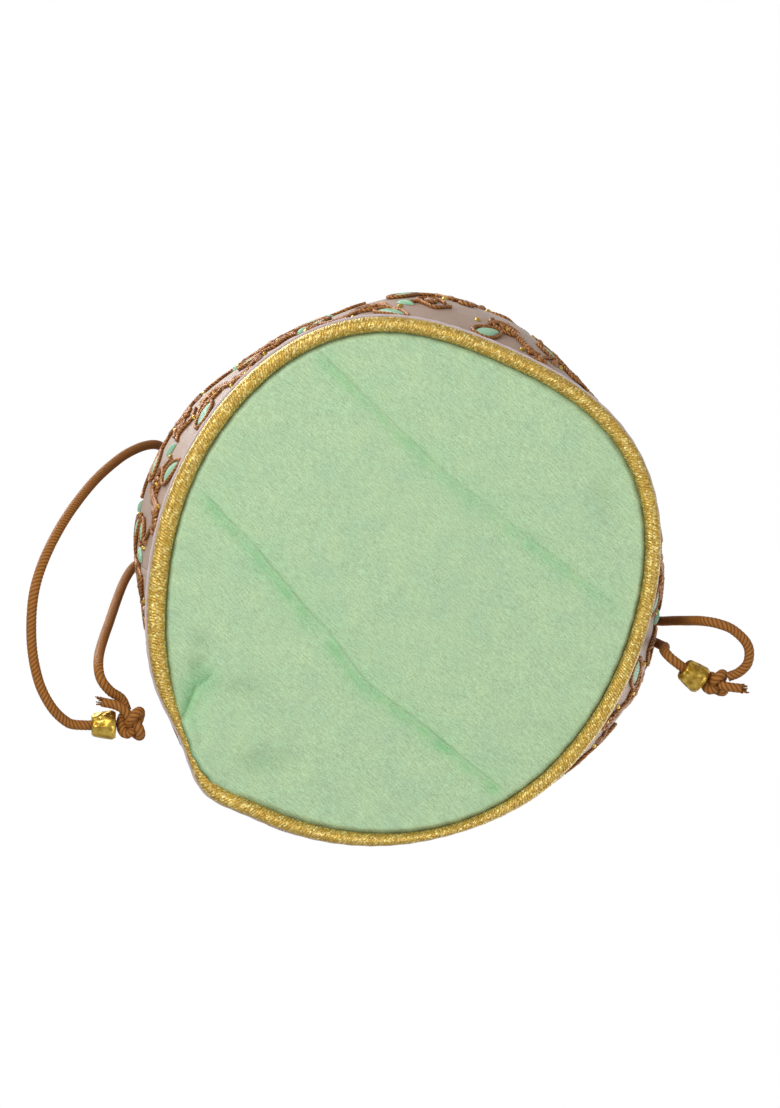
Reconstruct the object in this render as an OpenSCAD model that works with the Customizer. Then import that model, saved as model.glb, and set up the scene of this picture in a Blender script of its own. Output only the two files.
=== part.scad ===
// Round-based drawstring sack of silk, mouth gathered shut, standing on its base.
// Millimetres, +Z up, origin at the centre of the underside of the base.

/* [Base] */
// Outer radius of the piped edge of the base
base_r = 64; // [40:0.5:100]
// Thickness of the piping roll
piping_d = 4.6; // [3:0.1:7]
// Height of the worn flat on the underside of the piping above its lowest point
piping_flat = 0.15; // [0.05:0.05:0.3]
// Thickness of the cotton cord inside the piping
piping_core_d = 3; // [1.5:0.1:3.4]
// Thickness of the base cloth
base_cloth_t = 1; // [0.6:0.1:1.4]
// Thickness of the canvas between base cloth and base lining
canvas_t = 0.8; // [0.4:0.1:1.2]

/* [Side wall] */
// Height of the embroidered side panels
wall_h = 82; // [60:1:130]
// How far the filled-out wall bulges beyond its two seams
wall_bulge = 8; // [2:0.5:12]
// Radius of the seam between side wall and shoulder
top_seam_r = 60; // [35:0.5:90]
// Thickness of the outer cloths
cloth_t = 1; // [0.6:0.1:1.6]
// Thickness of the linings
lining_t = 0.7; // [0.4:0.1:1.2]
// Half of the angle that one side seam takes up
seam_half_angle = 1.2; // [0.6:0.1:2.5]

/* [Gathered mouth] */
// Height of the gathered shoulder
shoulder_h = 32; // [20:1:50]
// Outer radius of the gathered neck
neck_r = 19; // [15:0.5:30]
// Radius of the hole left in the gathered neck
mouth_hole_r = 8; // [4:0.5:10]
// Height of the drawstring casing
casing_h = 12; // [11.5:0.5:16]
// Height of the frill above the casing
frill_h = 36; // [20:1:50]
// Radius of the frill at its free edge
frill_r = 38; // [28:0.5:55]
// Thickness of the gold edging on the frill
edging_d = 2; // [1:0.1:3]

/* [Drawstrings] */
// Thickness of the twisted cord
cord_d = 2.5; // [2.5:0.1:2.8]
// Radius of the ring that each cord makes inside the casing
cord_ring_r = 14.5; // [12.5:0.1:15]
// Height of the lower cord above the casing's lower edge
lower_cord_z = 3.5; // [3:0.1:4]
// Height of the upper cord above the casing's lower edge
upper_cord_z = 8.5; // [8:0.1:9]
// Length of a bead along its hole
bead_l = 6; // [4:0.1:6]
// Radius of a bead at its narrow end
bead_small_r = 2.9; // [2.4:0.1:3.2]
// Radius of a bead at its wide end
bead_big_r = 3.7; // [3.2:0.1:3.7]
// Radius of a knot
knot_r = 3.2; // [2.6:0.1:3.2]

/* [Embroidery] */
// Motifs side by side on each panel
motif_columns = 5; // [3:1:7]
// Length of a satin-stitched leaf
leaf_l = 15; // [8:0.5:18]
// Radius of a couched vine curl
vine_r = 8; // [5:0.5:9]
// Thickness of the couched vine
vine_d = 1.6; // [1:0.1:2]
// Radius of a sequin
sequin_r = 1.6; // [1:0.1:2.5]

/* [Fits] */
// Gap between cloths that lie on each other
ply_gap = 0.2; // [0.1:0.05:0.4]
// Gap between a cord and the hole or channel that it runs in
cord_gap = 0.25; // [0.2:0.05:0.4]

/* [Hidden] */
$fn = 96;

MINT = "#aed3a6";
CHAMPAGNE = "#c4afa5";
COPPER = "#8e5a2c";
GOLD = "#c8a03c";
SATIN = "#d9cfd6";

// Steps along a curved profile
PROFILE_STEPS = 12;

// Piping
piping_r = piping_d / 2;
piping_ring_r = base_r - piping_r;
piping_z = piping_r - piping_flat;
piping_top = piping_z + piping_r;

// Stack of the base, from the cloth up
base_panel_r = piping_ring_r - piping_r - ply_gap;
base_panel_z = piping_z - base_cloth_t / 2;
canvas_z = base_panel_z + base_cloth_t + ply_gap;
canvas_r = piping_ring_r - piping_r - 2 * ply_gap;
base_lining_z = canvas_z + canvas_t + ply_gap;

// Side wall
wall_z0 = piping_top + ply_gap;
wall_z1 = wall_z0 + wall_h;
wall_base_r = base_r - cloth_t;
satin_edge_h = 0.6;

function wall_r(z) = let (t = (z - wall_z0) / wall_h)
    wall_base_r + (top_seam_r - wall_base_r) * t + wall_bulge * sin(180 * t);
function wall_tilt(z) = atan((wall_r(z + 1) - wall_r(z - 1)) / 2);

// Mouth
neck_z = wall_z1 + shoulder_h;
casing_z0 = neck_z + ply_gap;
casing_z1 = casing_z0 + casing_h;
frill_z0 = casing_z1 + ply_gap;
frill_top = frill_z0 + frill_h;
right_cord_z = casing_z0 + lower_cord_z;
left_cord_z = casing_z0 + upper_cord_z;
channel_r = cord_d / 2 + cord_gap;
strand_y = cord_d / 2 + cord_gap;
thread_d = 0.7;

// Length of neck that the shoulder, casing and frill lie around
neck_wall = neck_r - mouth_hole_r;

// Routes of the four free strands, from the cord ring in the casing to the knot.
// The first two points of each are at the casing's exit hole: in the casing and just outside it.
exit_x = cord_ring_r + cord_d / 2 + ply_gap;
lead_out = 1.5;
function exit_points(side, cross, z) = [
    [side * exit_x, cross * strand_y, z],
    [side * (neck_r + lead_out), cross * strand_y, z]];
left_long_route = concat(exit_points(-1, -1, left_cord_z), [
    [-27, -4, 125], [-36, -9, 119], [-45.5, -15.5, 113.5], [-53, -22.5, 104.5], [-58.2, -27.2, 91],
    [-61.3, -29.3, 76], [-65.4, -29, 66], [-71, -26.6, 52], [-78.5, -20.6, 32], [-86.3, -10.2, 13],
    [-91.2, 1.6, 3], [-92.2, 14, 1.3], [-90.6, 24.5, 1.4], [-87.4, 31.4, 2.1], [-83.4, 35.5, 3.4],
    [-80.4, 36.2, 3.8], [-71.5, 36.2, 3.8]]);
left_short_route = concat(exit_points(-1, 1, left_cord_z), [
    [-27, 2, 125.5], [-36, 2, 120], [-47, 2.3, 114], [-57, 2.6, 103.5], [-63.8, 3, 89],
    [-66.8, 3.8, 79], [-69, 6, 69], [-70.8, 9, 57], [-73.1, 13.6, 36], [-75.4, 18.6, 16],
    [-75.9, 21.6, 6.5], [-75.2, 24.8, 3.2], [-73, 27.8, 4], [-70.2, 30, 5.4], [-68.9, 32.9, 5.2]]);
right_long_route = concat(exit_points(1, -1, right_cord_z), [
    [27, -2, 121.5], [36, 1, 118.8], [47, 6.5, 113.5], [55.2, 11.8, 104], [61.5, 15.5, 90],
    [66, 16.6, 75], [69.6, 16.4, 62], [71.2, 15.4, 48], [71.6, 13.4, 30], [72.6, 11.6, 13],
    [74.6, 10.8, 4.6], [78, 11.2, 1.6], [81.8, 12.8, 1.3], [85.4, 16.6, 1.3], [85.6, 20.8, 1.6],
    [83.6, 23.4, 2.4], [80.8, 24.7, 3]]);
right_short_route = concat(exit_points(1, 1, right_cord_z), [
    [27, 4, 121.5], [36, 8.5, 118.5], [46, 13.5, 112.5], [54, 17.6, 104], [59.8, 20.5, 90],
    [64.6, 21.4, 75], [68.2, 21.6, 62], [69.5, 20.9, 48], [69, 20, 30], [67.8, 19.2, 13],
    [67.2, 20, 6], [68.8, 21.8, 3.9], [74.45, 25.8, 3.8]]);

// Beads and knots, where they lie
left_bead_at = [-74.6, 36.2, 3.8];
right_bead_at = [71.9, 24, 3.8];
right_bead_turn = 35;
left_knot_at = [-68.2, 36.6, 3.5];
right_knot_at = [77.9, 26.4, 3.4];
left_tail = [[-68.6, 35, 2.8], [-71.2, 29.4, 1.45]];
right_tail = [[78.6, 26.6, 2.8], [84, 28.6, 1.45]];

// Direction of a route at point i
function heading(route, i) = let (last = len(route) - 1)
    i == 0 ? route[1] - route[0] :
    i == last ? route[last] - route[last - 1] :
    (route[i + 1] - route[i]) / norm(route[i + 1] - route[i])
        + (route[i] - route[i - 1]) / norm(route[i] - route[i - 1]);

// Unit vector square to w that is nearest to u
function square_to(u, w) = let (s = u - w * (u * w)) s / norm(s);

// Side directions along a route, each carried over from the one before so that the tube doesn't twist
function carried(route, i) = let (
        d = heading(route, i),
        w = d / norm(d))
    i == 0 ? square_to([0, 0, 1], w) : square_to(carried(route, i - 1), w);

module tube(route, r, n = 8) {
    last = len(route) - 1;
    points = [for (i = [0:last]) let (
            d = heading(route, i),
            w = d / norm(d),
            u = carried(route, i),
            v = cross(w, u))
        for (k = [0:n - 1]) route[i] + r * (cos(360 * k / n) * u + sin(360 * k / n) * v)];
    sides = [for (i = [0:last - 1], k = [0:n - 1])
        [i * n + k, i * n + (k + 1) % n, (i + 1) * n + (k + 1) % n, (i + 1) * n + k]];
    split = [for (f = sides) each [[f[0], f[2], f[1]], [f[0], f[3], f[2]]]];
    start = [for (k = [0:n - 1]) k];
    end = [for (k = [n - 1:-1:0]) last * n + k];
    polyhedron(points = points, faces = concat([start], split, [end]));
}

// Solid of revolution between an outer and an inner profile, each a list of [r, z]
module shell(outer, inner, start = 0, sweep = 360) {
    inner_back = [for (i = [len(inner) - 1:-1:0]) inner[i]];
    rotate([0, 0, start])
        rotate_extrude(angle = sweep)
            polygon(concat(outer, inner_back));
}

function wall_profile(inset, z0, z1) = [for (i = [0:PROFILE_STEPS])
    let (z = z0 + (z1 - z0) * i / PROFILE_STEPS) [wall_r(z) - inset, z]];

// The shoulder is a quarter of an ellipse that ends flat on the neck
function shoulder_profile(inset) = concat(
    [for (i = [0:PROFILE_STEPS]) let (a = 90 * i / PROFILE_STEPS)
        [neck_r + (top_seam_r - neck_r - inset) * cos(a), wall_z1 + (shoulder_h - inset) * sin(a)]],
    [[mouth_hole_r, wall_z1 + shoulder_h - inset]]);

// The frill opens like a horn: upright at the casing and leaning out more and more above it
FRILL_CURVE = 1.6;
function frill_profile(inset) = [for (i = [0:PROFILE_STEPS]) let (t = i / PROFILE_STEPS)
    [neck_r - inset + (frill_r - neck_r) * pow(t, FRILL_CURVE), frill_z0 + frill_h * t]];

// Puts a flat piece on the outside of the wall, its back just clear of the cloth
module on_wall(angle, z) {
    rotate([0, 0, angle])
        translate([wall_r(z), 0, z])
            rotate([0, 90 + wall_tilt(z), 0])
                translate([0, 0, ply_gap])
                    children();
}

// Angles of the motif columns: the same on both panels, clear of the side seams and the strands
motif_span = 100;
function motif_angles(middle) = [for (i = [0:motif_columns - 1])
    middle - motif_span / 2 + motif_span * i / (motif_columns - 1)];
all_motif_angles = concat(motif_angles(90), motif_angles(270));
LOW_ROW = 0.27;
HIGH_ROW = 0.72;
low_row_z = wall_z0 + wall_h * LOW_ROW;
high_row_z = wall_z0 + wall_h * HIGH_ROW;

module piping_ring(r) {
    rotate_extrude()
        translate([piping_ring_r, piping_z])
            circle(r);
}

module base_panel() {
    color(MINT)
        translate([0, 0, base_panel_z])
            cylinder(r = base_panel_r, h = base_cloth_t);
}

module base_canvas() {
    color("#d8d0bc")
        translate([0, 0, canvas_z])
            cylinder(r = canvas_r, h = canvas_t);
}

module base_lining() {
    color(MINT)
        translate([0, 0, base_lining_z])
            cylinder(r = canvas_r, h = lining_t);
}

module base_piping() {
    color(GOLD)
        difference() {
            piping_ring(piping_r);
            piping_ring(piping_core_d / 2 + ply_gap / 2);
            translate([-2 * base_r, -2 * base_r, -piping_d])
                cube([4 * base_r, 4 * base_r, piping_d]);
        }
}

module piping_core() {
    color("#ece6d6")
        piping_ring(piping_core_d / 2);
}

module satin_edge() {
    color(SATIN)
        translate([0, 0, wall_z0])
            difference() {
                cylinder(r = base_r - ply_gap, h = satin_edge_h);
                translate([0, 0, -satin_edge_h])
                    cylinder(r = wall_base_r - lining_t, h = 3 * satin_edge_h);
            }
}

module side_panel(start) {
    z0 = wall_z0 + satin_edge_h + ply_gap;
    z1 = wall_z1 - ply_gap;
    shell(wall_profile(0, z0, z1), wall_profile(cloth_t, z0, z1),
        start + seam_half_angle, 180 - 2 * seam_half_angle);
}

module side_seam(middle) {
    seam_gap_angle = 0.1;
    z0 = wall_z0 + satin_edge_h + ply_gap;
    z1 = wall_z1 - ply_gap;
    half = seam_half_angle - seam_gap_angle;
    color(CHAMPAGNE)
        shell(wall_profile(0, z0, z1), wall_profile(cloth_t, z0, z1), middle - half, 2 * half);
}

module front_panel() {
    color(CHAMPAGNE)
        side_panel(180);
}

module back_panel() {
    color(CHAMPAGNE)
        side_panel(0);
}

module left_side_seam() {
    side_seam(180);
}

module right_side_seam() {
    side_seam(0);
}

module wall_lining() {
    z0 = wall_z0 + satin_edge_h + ply_gap;
    z1 = wall_z1 - ply_gap;
    outer = cloth_t + ply_gap;
    color(MINT)
        shell(wall_profile(outer, z0, z1), wall_profile(outer + lining_t, z0, z1));
}

module vine_curl() {
    opening_angle = 80;
    rotate([0, 0, opening_angle / 2])
        translate([0, 0, vine_d / 2])
            rotate_extrude(angle = 360 - opening_angle)
                translate([vine_r, 0])
                    circle(d = vine_d);
}

module zari_vines() {
    color(COPPER) {
        for (a = all_motif_angles)
            on_wall(a, low_row_z)
                vine_curl();
        for (a = all_motif_angles)
            on_wall(a, high_row_z)
                mirror([1, 0, 0])
                    vine_curl();
    }
}

// A leaf is where two equal discs overlap; a third as wide as it is long
module leaf() {
    leaf_t = 0.6;
    half_w = leaf_l / 6;
    arc_r = (leaf_l * leaf_l / 4 + half_w * half_w) / (2 * half_w);
    intersection() {
        translate([0, arc_r - half_w, 0])
            cylinder(r = arc_r, h = leaf_t);
        translate([0, half_w - arc_r, 0])
            cylinder(r = arc_r, h = leaf_t);
    }
}

// Each leaf lies across the inside of a curl, and is made smaller if it would reach the vine
module leaf_patches() {
    lean = 30;
    room = 0.9 * 2 * (vine_r - vine_d);
    color(MINT)
        for (a = all_motif_angles, z = [low_row_z, high_row_z])
            on_wall(a, z)
                rotate([0, 0, lean])
                    scale(min(1, room / leaf_l))
                        leaf();
}

module sequins() {
    sequin_t = 0.4;
    color(GOLD)
        for (a = all_motif_angles, z = [low_row_z, high_row_z], side = [-1, 1])
            on_wall(a, z + side * (vine_r + vine_d + sequin_r))
                cylinder(r = sequin_r, h = sequin_t);
}

module shoulder_braid() {
    braid_h = 4;
    braid_t = 0.8;
    z0 = wall_z1 - braid_h / 2;
    inner_r = wall_r(z0) + ply_gap;
    color(GOLD)
        translate([0, 0, z0])
            difference() {
                cylinder(r = inner_r + braid_t, h = braid_h);
                translate([0, 0, -braid_h])
                    cylinder(r = inner_r, h = 3 * braid_h);
            }
}

module shoulder_cloth() {
    color(MINT)
        shell(shoulder_profile(0), shoulder_profile(cloth_t));
}

module shoulder_lining() {
    outer = cloth_t + ply_gap;
    color(MINT)
        shell(shoulder_profile(outer), shoulder_profile(outer + lining_t));
}

// Oblong hole for two strands side by side, along X from the cord ring outwards
module strand_hole(side, z, r, from, length) {
    rotate([0, 0, side < 0 ? 180 : 0])
        translate([from, 0, z])
            rotate([0, 90, 0]) {
                for (y = [-strand_y, strand_y])
                    translate([0, y, 0])
                        cylinder(r = r, h = length);
                translate([-r, -strand_y, 0])
                    cube([2 * r, 2 * strand_y, length]);
            }
}

// Square tunnel round the neck for one cord, open to one side for its two strands
module cord_tunnel(side, z) {
    tunnel = 2 * channel_r;
    translate([0, 0, z]) {
        rotate_extrude()
            translate([cord_ring_r, 0])
                square(tunnel, center = true);
        translate([side * (cord_ring_r + neck_wall / 2), 0, 0])
            cube([neck_wall, tunnel + 2 * strand_y, tunnel], center = true);
    }
}

module drawstring_casing() {
    color(MINT)
        difference() {
            translate([0, 0, casing_z0])
                cylinder(r = neck_r, h = casing_h);
            translate([0, 0, casing_z0 - casing_h])
                cylinder(r = mouth_hole_r, h = 3 * casing_h);
            cord_tunnel(-1, left_cord_z);
            cord_tunnel(1, right_cord_z);
        }
}

module casing_stitching() {
    inset = 0.9;
    color(GOLD)
        for (z = [casing_z0 + inset, casing_z1 - inset])
            rotate_extrude()
                translate([neck_r + ply_gap / 4 + thread_d / 2, z])
                    circle(d = thread_d, $fn = 16);
}

module eyelet(side, z) {
    rim = 0.7;
    rim_t = 0.8;
    from = neck_r + ply_gap / 4;
    color(COPPER)
        difference() {
            strand_hole(side, z, channel_r + rim, from, rim_t);
            strand_hole(side, z, channel_r, from - rim_t, 3 * rim_t);
        }
}

module left_eyelet() {
    eyelet(-1, left_cord_z);
}

module right_eyelet() {
    eyelet(1, right_cord_z);
}

module frill() {
    color(MINT)
        shell(frill_profile(0), frill_profile(cloth_t));
}

module frill_lining() {
    outer = cloth_t + ply_gap;
    color(MINT)
        shell(frill_profile(outer), frill_profile(outer + lining_t));
}

module frill_edging() {
    color(GOLD)
        rotate_extrude()
            translate([frill_r - cloth_t / 2, frill_top + ply_gap + edging_d / 2])
                circle(d = edging_d);
}

module cord_ring(z) {
    color(COPPER)
        rotate_extrude()
            translate([cord_ring_r, z])
                circle(d = cord_d);
}

module left_cord_ring() {
    cord_ring(left_cord_z);
}

module right_cord_ring() {
    cord_ring(right_cord_z);
}

module strand(route) {
    color(COPPER)
        tube(route, cord_d / 2);
}

module left_long_strand() {
    strand(left_long_route);
}

module left_short_strand() {
    strand(left_short_route);
}

module right_long_strand() {
    strand(right_long_route);
}

module right_short_strand() {
    strand(right_short_route);
}

// A bell-shaped bead along +X, its wide end towards the knot
module bead(at, turn) {
    rim = 0.5;
    hole_r = cord_d / 2 + cord_gap;
    half = bead_l / 2;
    color(GOLD)
        translate(at)
            rotate([0, 0, turn])
                rotate([0, 90, 0])
                    rotate_extrude()
                        polygon([[hole_r, -half], [bead_small_r - rim, -half], [bead_small_r, rim - half],
                            [bead_big_r, half - 2 * rim], [bead_big_r - rim, half], [hole_r, half]]);
}

module left_bead() {
    bead(left_bead_at, 0);
}

module right_bead() {
    bead(right_bead_at, right_bead_turn);
}

module rod(a, b, r) {
    d = b - a;
    translate(a)
        rotate([0, acos(d[2] / norm(d)), atan2(d[1], d[0])])
            cylinder(r = r, h = norm(d));
}

// The knot of both cord ends is a barrel with sloped rims, and its tail a straight rod
module knot(at, tail) {
    end_r = 0.55 * knot_r;
    side_h = 0.45 * knot_r;
    color(COPPER) {
        translate(at)
            rotate_extrude()
                polygon([[0, -knot_r], [end_r, -knot_r], [knot_r, -side_h],
                    [knot_r, side_h], [end_r, knot_r], [0, knot_r]]);
        rod(tail[0], tail[1], cord_d / 2);
    }
}

module left_knot() {
    knot(left_knot_at, left_tail);
}

module right_knot() {
    knot(right_knot_at, right_tail);
}

base_panel();
base_canvas();
base_lining();
base_piping();
piping_core();
satin_edge();
front_panel();
back_panel();
left_side_seam();
right_side_seam();
wall_lining();
zari_vines();
leaf_patches();
sequins();
shoulder_braid();
shoulder_cloth();
shoulder_lining();
drawstring_casing();
casing_stitching();
left_eyelet();
right_eyelet();
frill();
frill_lining();
frill_edging();
left_cord_ring();
right_cord_ring();
left_long_strand();
left_short_strand();
right_long_strand();
right_short_strand();
left_bead();
right_bead();
left_knot();
right_knot();
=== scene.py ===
"""Looks of a round-based silk drawstring sack with a piped base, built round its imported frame.

Shapes are worked out in millimetres, in the frame's own axes: the sack stands on z = 0 and
its gathered mouth points along +Z. The camera looks up at the base through the floor.
"""
import math
import random

import bmesh
import bpy
from mathutils import Matrix, Vector, geometry, noise


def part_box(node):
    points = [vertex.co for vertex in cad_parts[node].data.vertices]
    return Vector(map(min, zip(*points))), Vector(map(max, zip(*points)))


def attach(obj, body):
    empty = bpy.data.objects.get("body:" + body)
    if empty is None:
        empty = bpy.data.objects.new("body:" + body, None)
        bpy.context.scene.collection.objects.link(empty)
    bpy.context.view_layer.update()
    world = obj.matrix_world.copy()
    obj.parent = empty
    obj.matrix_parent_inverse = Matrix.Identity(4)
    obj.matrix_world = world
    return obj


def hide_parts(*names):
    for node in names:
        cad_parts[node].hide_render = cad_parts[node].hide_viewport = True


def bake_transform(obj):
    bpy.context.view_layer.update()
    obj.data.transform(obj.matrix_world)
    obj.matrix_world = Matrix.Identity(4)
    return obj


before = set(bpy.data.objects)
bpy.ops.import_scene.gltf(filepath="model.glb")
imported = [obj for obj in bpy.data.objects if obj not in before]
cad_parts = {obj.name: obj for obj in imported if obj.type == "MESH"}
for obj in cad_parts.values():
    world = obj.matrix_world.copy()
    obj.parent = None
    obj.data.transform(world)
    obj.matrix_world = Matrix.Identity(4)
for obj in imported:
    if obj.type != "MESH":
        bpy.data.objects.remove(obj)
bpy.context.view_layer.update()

MM = 0.001
TAU = math.tau


# -------- sizes from the frame

def corners(cad_node):
    """Lowest and highest corner of a CAD node, in millimetres."""
    low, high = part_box(cad_node)
    return Vector(low) / MM, Vector(high) / MM


def middle(cad_node):
    low, high = corners(cad_node)
    return (low + high) / 2


PIPING_HIGH = corners("base_piping")[1]
WALL_HIGH = corners("back_panel")[1]
SHOULDER_HIGH = corners("shoulder_cloth")[1]
CASING_LOW, CASING_HIGH = corners("drawstring_casing")
FRILL_HIGH = corners("frill")[1]
RING_LOW, RING_HIGH = corners("left_cord_ring")

BASE_R = PIPING_HIGH.x
PIPING_H = PIPING_HIGH.z
WALL_R = WALL_HIGH.x
WALL_Z0 = PIPING_H
WALL_Z1 = WALL_HIGH.z
SEAM_R = SHOULDER_HIGH.x
NECK_R = CASING_HIGH.x
NECK_Z = SHOULDER_HIGH.z
FRILL_R = FRILL_HIGH.x
CORD_R = (RING_HIGH.z - RING_LOW.z) / 2
CORD_RING_R = RING_HIGH.x - CORD_R
LEFT_CORD_Z = middle("left_cord_ring").z
RIGHT_CORD_Z = middle("right_cord_ring").z
CLOTH_T = 0.5
LINING_T = 0.3
LINING_GAP = 1.0


# -------- camera

FRAME_CENTRE = Vector((-4.4, -6.4, 0.0))
CAMERA_SIDE = Vector((-0.085, -0.085, -1.0))
CAMERA_AWAY = 795.0


def show(name, data):
    """Puts an object into the scene."""
    made = bpy.data.objects.new(name, data)
    bpy.context.scene.collection.objects.link(made)
    return made


def place_camera():
    """Below the base, a little towards -X and -Y, with +X to the right and -Y up."""
    data = bpy.data.cameras.new("camera")
    data.lens = 105
    data.sensor_width = 36
    camera = show("camera", data)
    back = CAMERA_SIDE.normalized()
    right = Vector((1, 0, 0))
    right = (right - back * right.dot(back)).normalized()
    up = back.cross(right)
    turn = Matrix((right, up, back)).transposed().to_4x4()
    place = Matrix.Translation((FRAME_CENTRE + back * CAMERA_AWAY) * MM)
    camera.matrix_world = place @ turn
    bpy.context.scene.camera = camera


place_camera()


# -------- small maths

def smooth(low, high, x):
    t = min(1.0, max(0.0, (x - low) / (high - low)))
    return t * t * (3 - 2 * t)


def mix(a, b, t):
    return a + (b - a) * t


def waves(angle, terms):
    """Sum of waves round the axis; each is (how many, height, its first crest in degrees)."""
    return sum(a * math.cos(n * angle - math.radians(crest)) for n, a, crest in terms)


def bump_at(angle, centre, width):
    """A bell of height 1 round the axis, centre and width in degrees."""
    off = (math.degrees(angle) - centre + 180) % 360 - 180
    return math.exp(-(off / width) ** 2)


def rough(x, y, z, size):
    """Smooth noise from -1 to 1 with bumps about size across."""
    return noise.noise(Vector((x, y, z)) / size)


def polar(radius, angle, z):
    return Vector((radius * math.cos(angle), radius * math.sin(angle), z))


def around(u):
    """Angle at share u of a full turn."""
    return TAU * u


def ring_of(count, place):
    """Points all round the axis; place gives the point at an angle."""
    return [place(around(i / count)) for i in range(count)]


def smooth_path(points, step):
    """Points a step apart on a smooth curve through the given ones."""
    points = [Vector(p) for p in points]
    last = len(points) - 1
    fine = []
    for i in range(last):
        a, b = points[i], points[i + 1]
        reach = (b - a).length / 3
        leave = (b - points[max(i - 1, 0)]).normalized() * reach
        arrive = (points[min(i + 2, last)] - a).normalized() * reach
        fine += geometry.interpolate_bezier(a, a + leave, b - arrive, b, 16)[:-1]
    fine.append(points[last])
    return even_path(fine, step)


def even_path(fine, step):
    """The same path with its points about a step apart."""
    total = path_length(fine)
    count = max(2, round(total / step))
    made = [fine[0].copy()]
    walked, i = 0.0, 0
    for k in range(1, count):
        goal = total * k / count
        while walked + (fine[i + 1] - fine[i]).length < goal:
            walked += (fine[i + 1] - fine[i]).length
            i += 1
        share = (goal - walked) / (fine[i + 1] - fine[i]).length
        made.append(fine[i].lerp(fine[i + 1], share))
    made.append(fine[-1].copy())
    return made


def path_length(points):
    return sum((b - a).length for a, b in zip(points, points[1:]))


# -------- mesh tools

WELD = 1e-7


def add_patch(bm, columns, rows, size, place):
    """A grid of faces whose point (u, v), each from 0 to 1, goes to place(u, v)."""
    uv = bm.loops.layers.uv.verify()
    made = bmesh.ops.create_grid(bm, x_segments=columns, y_segments=rows, size=0.5)["verts"]
    for face in {f for v in made for f in v.link_faces}:
        for loop in face.loops:
            at = loop.vert.co
            loop[uv].uv = ((at.x + 0.5) * size[0], (at.y + 0.5) * size[1])
    for v in made:
        v.co = place(v.co.x + 0.5, v.co.y + 0.5) * MM
    return made


def add_tube(bm, path, radius, sides_round, closed=False):
    """A tube along a path; radius(distance, turn) gives its radius at each point."""
    count = len(path)
    tangents = []
    for i in range(count):
        ahead = path[(i + 1) % count] if closed else path[min(i + 1, count - 1)]
        behind = path[i - 1] if closed else path[max(i - 1, 0)]
        tangents.append((ahead - behind).normalized())
    side = tangents[0].orthogonal().normalized()
    sides = []
    for t in tangents:
        side = (side - t * side.dot(t)).normalized()
        sides.append(side)
    twist = 0.0
    if closed:
        start = tangents[0].cross(sides[0])
        twist = math.atan2(side.dot(start), side.dot(sides[0]))
    along = [0.0]
    for a, b in zip(path, path[1:]):
        along.append(along[-1] + (b - a).length)
    rings = count if closed else count + 1
    total = along[-1] + ((path[0] - path[-1]).length if closed else 0)

    def place(u, v):
        ring = round(u * rings)
        cap = not closed and ring in (0, rings)
        i = ring % count if closed else min(max(ring - 1, 0), count - 1)
        turn = TAU * v
        s = along[i]
        spin = turn - (twist * ring / rings if closed else 0)
        out = sides[i] * math.cos(spin) + tangents[i].cross(sides[i]) * math.sin(spin)
        return path[i] + out * (0.0 if cap else radius(s, turn))

    made = add_patch(bm, rings, sides_round, (total, TAU * CORD_R), place)
    bmesh.ops.remove_doubles(bm, verts=made, dist=WELD)


def rope_radius(radius, plies, pitch, depth=0.16):
    """Radius of a twisted rope: one lobe for each ply, turning once in a pitch."""
    def at(s, turn):
        lobe = abs(math.cos((turn - TAU * s / pitch) * plies / 2))
        return radius * (1 - depth + depth * lobe)
    return at


def piece(name, bm, material, cad_node=None, body="sack", thick=None, offset=-1.0):
    """Makes the object, gives it its material and body, and hides the CAD node it stands for."""
    bmesh.ops.recalc_face_normals(bm, faces=bm.faces)
    for face in bm.faces:
        face.smooth = True
    mesh = bpy.data.meshes.new(name)
    bm.to_mesh(mesh)
    bm.free()
    mesh.materials.append(material)
    made = show(name, mesh)
    if body:
        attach(made, body)
    if cad_node:
        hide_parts(cad_node)
    if thick:
        solid = made.modifiers.new("thickness", "SOLIDIFY")
        solid.thickness = thick * MM
        solid.offset = offset
    return made


def closed_round(name, columns, rows, size, place, material, cad_node, thick=None):
    """A piece that goes all round the axis, its two ends sewn together."""
    bm = bmesh.new()
    made = add_patch(bm, columns, rows, size, place)
    bmesh.ops.remove_doubles(bm, verts=made, dist=WELD)
    return piece(name, bm, material, cad_node, thick=thick)


def tube_round(name, path, radius, sides_round, material, cad_node):
    """A cord or roll that goes all round the axis and meets itself."""
    bm = bmesh.new()
    add_tube(bm, path, radius, sides_round, closed=True)
    piece(name, bm, material, cad_node)


# -------- node tools

def feed(tree, socket, value):
    """Gives a socket a constant, or links it to the socket that feeds it."""
    if isinstance(value, bpy.types.NodeSocket):
        tree.links.new(value, socket)
    else:
        socket.default_value = value


def node(tree, kind, links=None, **settings):
    """Adds a shader node; links gives each input a value or the socket that feeds it."""
    made = tree.nodes.new(kind)
    for key, value in settings.items():
        setattr(made, key, value)
    for key, value in (links or {}).items():
        feed(tree, made.inputs[key], value)
    return made


def maths(tree, operation, *values):
    return node(tree, "ShaderNodeMath", dict(enumerate(values)), operation=operation).outputs[0]


def blended(tree, factor, a, b):
    """From colour a to colour b; a mix node has its colours at inputs 6 and 7, output 2."""
    links = {0: factor, 6: a, 7: b}
    return node(tree, "ShaderNodeMix", links, data_type="RGBA").outputs[2]


def grouped(tree, group, links):
    return node(tree, "ShaderNodeGroup", links, node_tree=group).outputs


def colour(r, g, b):
    """A colour given as seen on a screen, from 0 to 255."""
    def linear(c):
        c /= 255
        return c / 12.92 if c <= 0.04045 else ((c + 0.055) / 1.055) ** 2.4
    return (linear(r), linear(g), linear(b), 1.0)


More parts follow.
